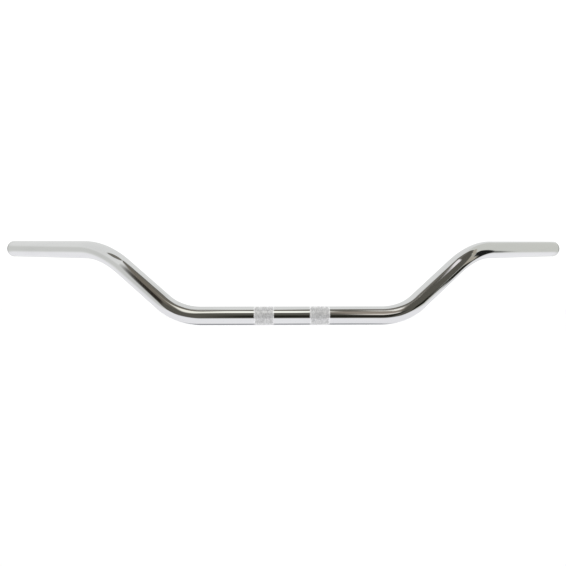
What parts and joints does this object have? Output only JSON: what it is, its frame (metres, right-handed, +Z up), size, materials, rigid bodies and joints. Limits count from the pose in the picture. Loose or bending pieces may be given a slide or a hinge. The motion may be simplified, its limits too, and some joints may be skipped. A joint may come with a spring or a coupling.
{
  "type": "motorcycle handlebar",
  "caption": "Chrome-plated bent steel motorcycle handlebar with a low rise, swept-back grips and knurled clamp bands.",
  "frame": {"origin": "on the tube's axis, midway between the two knurled clamp bands, where the clamps hold it", "axes": "+X along the clamp section to the right-hand end as seen from the front, +Y towards the rider (the way the grips sweep), +Z up"},
  "size_m": [0.8064, 0.2046, 0.1001],
  "materials": {
    "tube_chrome": "bright chrome plate on bent steel tube",
    "plug_chrome": "chrome-plated moulded plug"
  },
  "bodies": {
    "root": {"handlebar_tube": "tube_chrome", "end_plug_left": "plug_chrome", "end_plug_right": "plug_chrome"}
  },
  "joints": []
}
